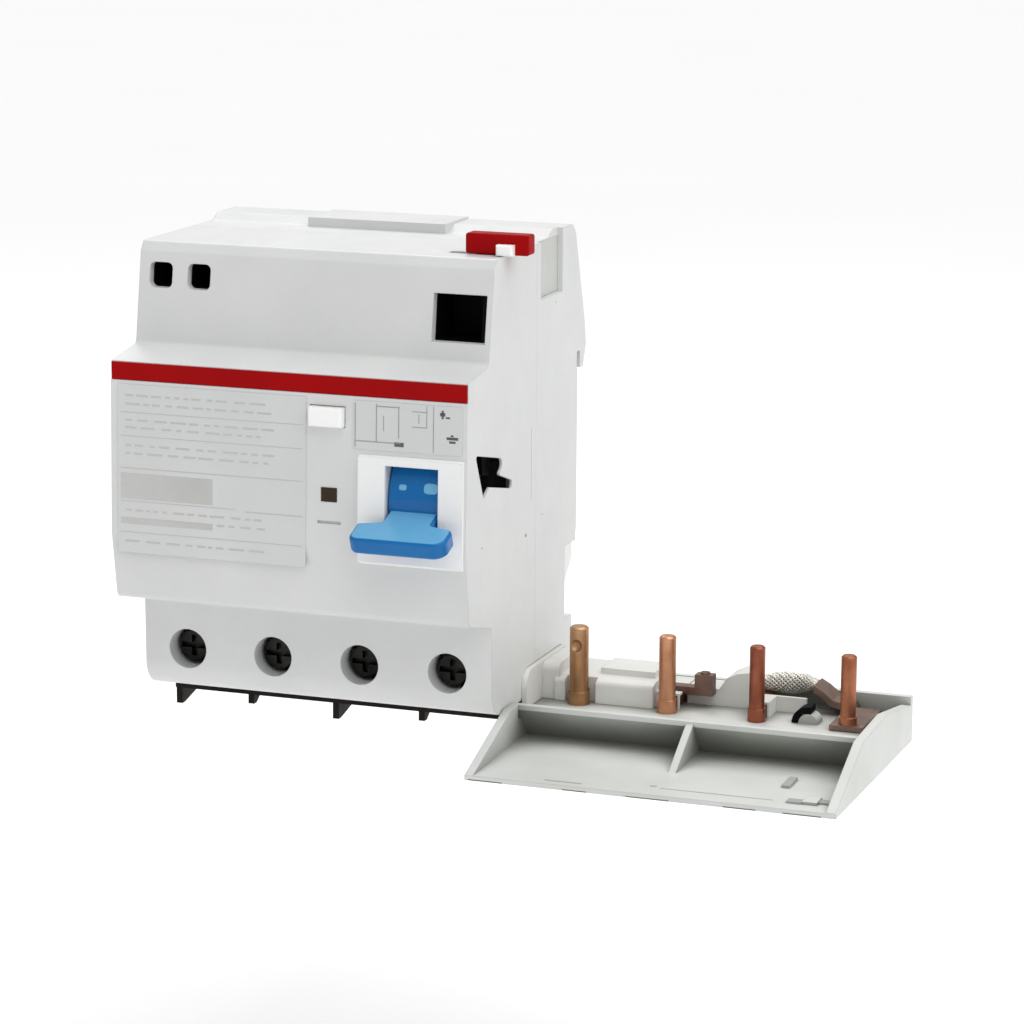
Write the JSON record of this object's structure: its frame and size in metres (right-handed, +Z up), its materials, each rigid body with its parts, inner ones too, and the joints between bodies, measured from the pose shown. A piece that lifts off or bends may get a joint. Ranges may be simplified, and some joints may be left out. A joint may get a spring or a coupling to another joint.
{
  "type": "residual current device",
  "caption": "Residual current add-on block for a DIN rail, with a reset toggle, a test button and a pin tray for the breaker beside it.",
  "frame": {"origin": "centre of the rail seat at the back of the block, on the rail's centre line", "axes": "+X to the right seen from the front, +Y towards the rail, +Z up"},
  "size_m": [0.1396, 0.0745, 0.0965],
  "materials": {
    "housing_plastic": "fine moulded texture, satin",
    "tray_plastic": "fine moulded texture, satin",
    "inner_plastic": "moulded",
    "dark_plastic": "moulded, dark brown",
    "black_plastic": "moulded",
    "blue_plastic": "satin gloss",
    "red_plastic": "satin gloss",
    "button_plastic": "satin",
    "printed_film": "printed film",
    "smoked_lens": "smoked",
    "copper": "drawn copper, slightly tarnished",
    "tinned_copper": "tinned braid",
    "zinc_steel": "zinc plated",
    "spring_steel": "drawn wire",
    "core_alloy": "coated ring core",
    "enamelled_wire": "enamelled copper winding",
    "board_laminate": "solder-masked laminate",
    "component_body": "dipped component body"
  },
  "bodies": {
    "base": {"front_housing": "housing_plastic", "rear_housing": "housing_plastic", "fixing_screws": "zinc_steel", "red_stripe": "red_plastic", "toggle_surround": "housing_plastic", "link_clip": "black_plastic", "rating_label": "printed_film", "diagram_label": "printed_film", "mechanism_pins": "zinc_steel", "toggle_spring": "spring_steel", "mechanism_frame": "zinc_steel", "relay_case": "inner_plastic", "test_contact": "spring_steel", "test_resistor": "component_body", "circuit_board": "board_laminate", "board_capacitors": "component_body", "board_diodes": "black_plastic", "indicator_lens": "smoked_lens", "toroid_core": "core_alloy", "toroid_winding": "enamelled_wire", "chassis_plate": "inner_plastic", "load_bars": "copper", "cranked_link": "copper", "flexible_link": "tinned_copper", "voltage_tap": "zinc_steel", "terminal_base": "dark_plastic", "tray_body": "tray_plastic", "tray_bottom_cover": "tray_plastic", "conductor_cover": "tray_plastic", "link_cover": "tray_plastic", "auxiliary_liner": "black_plastic", "pilot_sockets": "black_plastic", "line_conductor_1": "copper", "breaker_pin_1": "copper", "line_conductor_2": "copper", "breaker_pin_2": "copper", "line_conductor_3": "copper", "breaker_pin_3": "copper", "line_conductor_4": "copper", "breaker_pin_4": "copper"},
    "toggle": {"toggle_lever": "blue_plastic"},
    "coupling": {"coupling_lever": "black_plastic"},
    "latch": {"trip_latch": "zinc_steel"},
    "plunger": {"relay_plunger": "zinc_steel"},
    "button": {"test_button": "button_plastic", "test_spring": "spring_steel"},
    "clip_left": {"rail_clip_left": "inner_plastic", "clip_spring_left": "spring_steel"},
    "clip_right": {"rail_clip_right": "inner_plastic", "clip_spring_right": "spring_steel"},
    "lock": {"lock_slide": "red_plastic", "lock_peg": "button_plastic"},
    "screw_1": {"terminal_screw_1": "zinc_steel"},
    "cage_1": {"terminal_cage_1": "zinc_steel"},
    "screw_2": {"terminal_screw_2": "zinc_steel"},
    "cage_2": {"terminal_cage_2": "zinc_steel"},
    "screw_3": {"terminal_screw_3": "zinc_steel"},
    "cage_3": {"terminal_cage_3": "zinc_steel"},
    "screw_4": {"terminal_screw_4": "zinc_steel"},
    "cage_4": {"terminal_cage_4": "zinc_steel"}
  },
  "joints": [
    {"name": "toggle_turn", "type": "hinge", "parent": "base", "child": "toggle", "pos_m": [0.0248, -0.05, 0], "axis": [-1, 0, 0], "range_deg": [0, 40]},
    {"name": "coupling_turn", "type": "hinge", "parent": "base", "child": "coupling", "pos_m": [0.032, -0.048, 0.014], "axis": [1, 0, 0], "range_deg": [0, 14]},
    {"name": "plunger_slide", "type": "slide", "parent": "base", "child": "plunger", "axis": [1, 0, 0], "range_m": [0, 0.0012], "stiffness_N_per_m": 60, "springref_m": -0.0005},
    {"name": "latch_turn", "type": "hinge", "parent": "base", "child": "latch", "pos_m": [0.023, -0.049, -0.0135], "axis": [0, 0, 1], "range_deg": [0, 15.4]},
    {"name": "button_press", "type": "slide", "parent": "base", "child": "button", "axis": [0, 1, 0], "range_m": [0, 0.0015], "stiffness_N_per_m": 300, "springref_m": -0.001, "deforming": ["test_spring"]},
    {"name": "lock_shift", "type": "slide", "parent": "base", "child": "lock", "axis": [-1, 0, 0], "range_m": [0, 0.005]},
    {"name": "clip_left_slide", "type": "slide", "parent": "base", "child": "clip_left", "axis": [0, 0, -1], "range_m": [0, 0.0035], "stiffness_N_per_m": 900, "springref_m": -0.002, "deforming": ["clip_spring_left"]},
    {"name": "clip_right_slide", "type": "slide", "parent": "base", "child": "clip_right", "axis": [0, 0, -1], "range_m": [0, 0.0035], "stiffness_N_per_m": 900, "springref_m": -0.002, "deforming": ["clip_spring_right"]},
    {"name": "cage_1_slide", "type": "slide", "parent": "base", "child": "cage_1", "axis": [0, -1, 0], "range_m": [0, 0.0045]},
    {"name": "screw_1_turn", "type": "hinge", "parent": "base", "child": "screw_1", "pos_m": [-0.02625, -0.04, -0.0342], "axis": [0, 1, 0], "range_deg": [0, 1800]},
    {"name": "cage_2_slide", "type": "slide", "parent": "base", "child": "cage_2", "axis": [0, -1, 0], "range_m": [0, 0.0045]},
    {"name": "screw_2_turn", "type": "hinge", "parent": "base", "child": "screw_2", "pos_m": [-0.00875, -0.04, -0.0342], "axis": [0, 1, 0], "range_deg": [0, 1800]},
    {"name": "cage_3_slide", "type": "slide", "parent": "base", "child": "cage_3", "axis": [0, -1, 0], "range_m": [0, 0.0045]},
    {"name": "screw_3_turn", "type": "hinge", "parent": "base", "child": "screw_3", "pos_m": [0.00875, -0.04, -0.0342], "axis": [0, 1, 0], "range_deg": [0, 1800]},
    {"name": "cage_4_slide", "type": "slide", "parent": "base", "child": "cage_4", "axis": [0, -1, 0], "range_m": [0, 0.0045]},
    {"name": "screw_4_turn", "type": "hinge", "parent": "base", "child": "screw_4", "pos_m": [0.02625, -0.04, -0.0342], "axis": [0, 1, 0], "range_deg": [0, 1800]}
  ],
  "couplings": [
    {"joint": "coupling_turn", "follows": "toggle_turn", "ratio": 0.35},
    {"joint": "latch_turn", "follows": "plunger_slide", "rad_per_m": 222},
    {"joint": "screw_1_turn", "follows": "cage_1_slide", "rad_per_m": 6981.3},
    {"joint": "screw_2_turn", "follows": "cage_2_slide", "rad_per_m": 6981.3},
    {"joint": "screw_3_turn", "follows": "cage_3_slide", "rad_per_m": 6981.3},
    {"joint": "screw_4_turn", "follows": "cage_4_slide", "rad_per_m": 6981.3}
  ]
}
